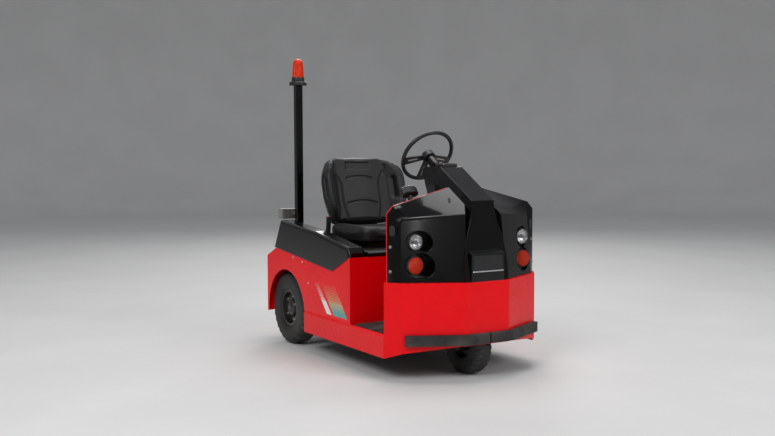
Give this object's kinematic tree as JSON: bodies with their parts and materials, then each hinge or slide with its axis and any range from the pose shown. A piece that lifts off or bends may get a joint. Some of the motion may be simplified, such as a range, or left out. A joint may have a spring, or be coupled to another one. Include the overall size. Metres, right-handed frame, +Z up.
{
  "type": "electric tow tractor",
  "caption": "Three-wheel ride-on electric tow tractor with a bent-plate body, moulded front cowl, hinged seat hood, steered front wheel, beacon pole and a rear pin hitch.",
  "frame": {"origin": "on the ground, under the middle of the vehicle's box", "axes": "+X forward, +Y to the vehicle's left, +Z up"},
  "size_m": [1.72, 0.93, 1.672],
  "materials": {
    "red_paint": "gloss",
    "frame_black": "satin",
    "gloss_black": "gloss",
    "satin_black": "satin",
    "rubber": "matte",
    "lamp_clear": "gloss",
    "lamp_orange": "gloss",
    "lamp_red": "gloss",
    "seat_vinyl": "matte",
    "tyre": "matte",
    "wheel_black": "satin",
    "pin_steel": "brushed"
  },
  "bodies": {
    "chassis": {"side_panel_right": "red_paint", "side_panel_left": "red_paint", "rear_panel": "red_paint", "seat_box_front": "red_paint", "front_apron": "red_paint", "dash_plate": "red_paint", "chassis_frame": "frame_black", "floor_pan": "frame_black", "wheel_housing": "frame_black", "drive_axle": "frame_black", "tow_hitch": "frame_black", "front_cowl": "gloss_black", "column_cover": "gloss_black", "hump_right": "gloss_black", "hump_left": "gloss_black", "rear_deck": "gloss_black", "pole": "gloss_black", "instrument_panel": "satin_black", "direction_stalk": "satin_black", "parking_lever": "satin_black", "beacon_base": "satin_black", "work_lamp": "satin_black", "battery": "satin_black", "floor_mat": "rubber", "bumper_right": "rubber", "bumper_left": "rubber", "pedals": "rubber", "headlamps": "lamp_clear", "turn_lamps": "lamp_orange", "beacon_lens": "lamp_orange", "tail_lamps": "lamp_red"},
    "rear_wheel_right": {"rear_rim_right": "wheel_black", "rear_tyre_right": "tyre"},
    "rear_wheel_left": {"rear_rim_left": "wheel_black", "rear_tyre_left": "tyre"},
    "fork": {"front_fork": "frame_black"},
    "front_wheel": {"front_rim": "wheel_black", "front_tyre": "tyre"},
    "steering": {"steering_wheel": "satin_black"},
    "hood": {"seat_hood": "gloss_black", "seat_base": "frame_black", "seat_cushion": "seat_vinyl", "seat_backrest": "seat_vinyl", "belt_buckle": "satin_black"},
    "pin": {"tow_pin": "pin_steel"}
  },
  "joints": [
    {"name": "rear_wheel_right_spin", "type": "hinge", "parent": "chassis", "child": "rear_wheel_right", "pos_m": [-0.54, -0.379, 0.21], "axis": [0, 1, 0], "continuous": true},
    {"name": "rear_wheel_left_spin", "type": "hinge", "parent": "chassis", "child": "rear_wheel_left", "pos_m": [-0.54, 0.379, 0.21], "axis": [0, 1, 0], "continuous": true},
    {"name": "front_steer", "type": "hinge", "parent": "chassis", "child": "fork", "pos_m": [0.665, 0, 0.32], "axis": [0, 0, 1], "range_deg": [-60, 60]},
    {"name": "front_wheel_spin", "type": "hinge", "parent": "fork", "child": "front_wheel", "pos_m": [0.665, 0, 0.15], "axis": [0, 1, 0], "continuous": true},
    {"name": "steering_turn", "type": "hinge", "parent": "chassis", "child": "steering", "pos_m": [0.294, 0, 1.09984], "axis": [-0.829, 0, 0.5592], "range_deg": [-300, 300]},
    {"name": "hood_open", "type": "hinge", "parent": "chassis", "child": "hood", "pos_m": [-0.568, 0, 0.6113], "axis": [0, -1, 0], "range_deg": [0, 55]},
    {"name": "tow_pin_lift", "type": "slide", "parent": "chassis", "child": "pin", "axis": [0, 0, 1], "range_m": [0, 0.14]}
  ],
  "couplings": [
    {"joint": "steering_turn", "follows": "front_steer", "ratio": 5}
  ]
}
